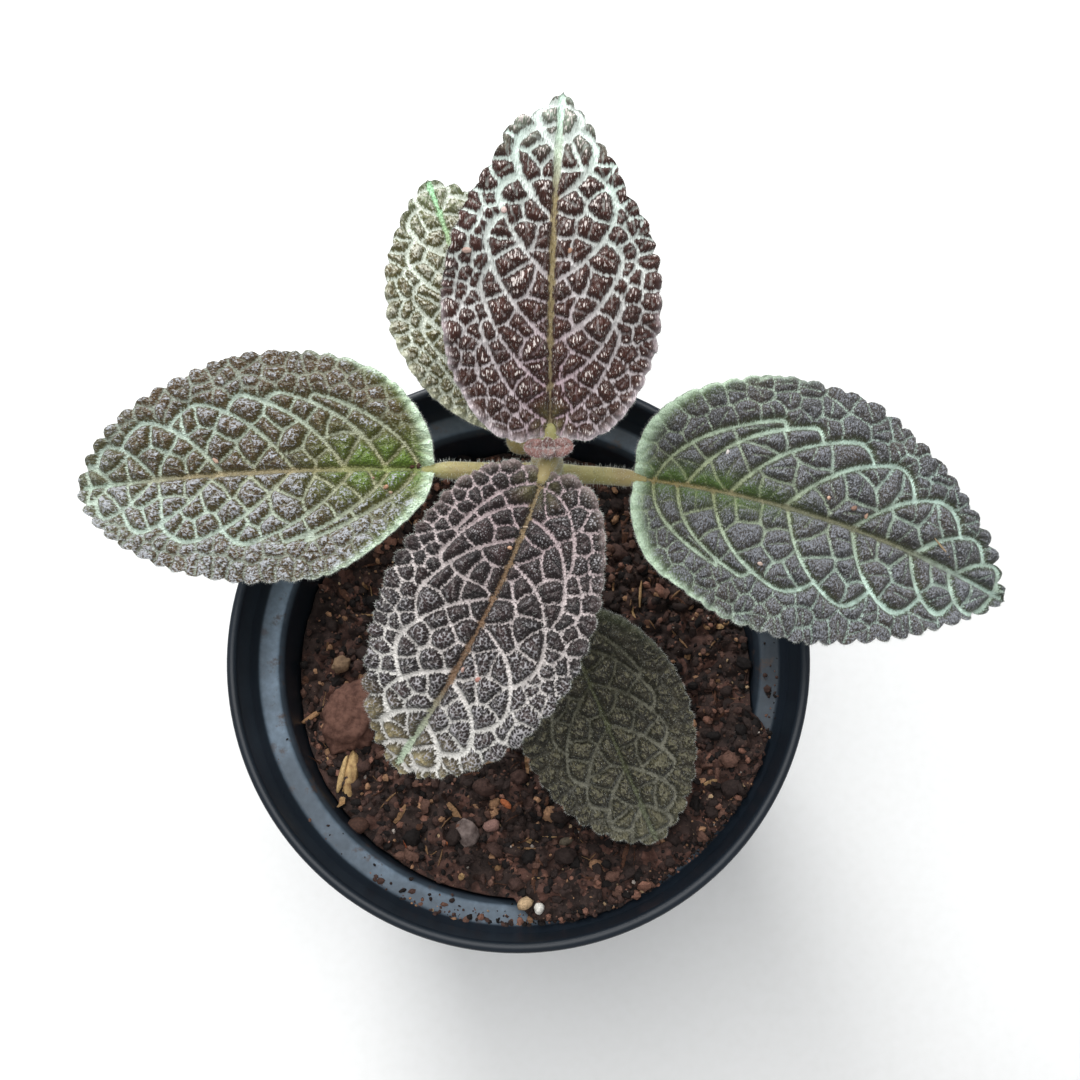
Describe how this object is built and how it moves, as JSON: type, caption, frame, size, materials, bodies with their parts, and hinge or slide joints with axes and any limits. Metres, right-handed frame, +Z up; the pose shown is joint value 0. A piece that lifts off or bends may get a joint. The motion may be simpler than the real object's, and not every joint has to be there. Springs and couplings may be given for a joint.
{
  "type": "potted flame violet",
  "caption": "House plant: a flame violet with quilted, silver-veined opposite leaves on one stem, rooted in soil in a round stepped nursery pot.",
  "frame": {"origin": "middle of the pot's underside, on the surface that the pot stands on", "axes": "+Z up along the pot's axis; +X to the right in the picture; -Y towards the lower edge of the picture"},
  "size_m": [0.147, 0.124, 0.1485],
  "materials": {
    "pot_plastic": "satin moulded polypropylene, near black with a blue-green cast",
    "soil": "matte, dark red-brown peat and bark",
    "stem": "matte, olive-tan, finely hairy",
    "young_leaf": "matte, dusty pink, hairy",
    "leaf_olive": "satin, quilted, olive-bronze with pale mint veins",
    "leaf_slate": "satin, quilted, charcoal with pale mint veins",
    "leaf_maroon": "satin, quilted, maroon-brown with white veins",
    "leaf_dark": "satin, quilted, near black with white and pink veins",
    "leaf_bronze": "satin, quilted, olive-bronze with white veins",
    "leaf_shade": "matte, quilted, dull dark green with faint veins",
    "bark": "matte, reddish brown bark",
    "wood_chip": "matte, straw-coloured split wood",
    "pebble": "matte grey-brown grit"
  },
  "bodies": {
    "root": {"pot": "pot_plastic", "soil": "soil", "stem": "stem", "shoot_tip": "young_leaf", "leaf_left": "leaf_olive", "leaf_right": "leaf_slate", "leaf_back": "leaf_maroon", "leaf_front": "leaf_dark", "leaf_low_back": "leaf_bronze", "leaf_low_front": "leaf_shade", "bark_lump": "bark", "wood_chip": "wood_chip", "grey_pebble": "pebble", "tan_pebble": "pebble"}
  },
  "joints": []
}
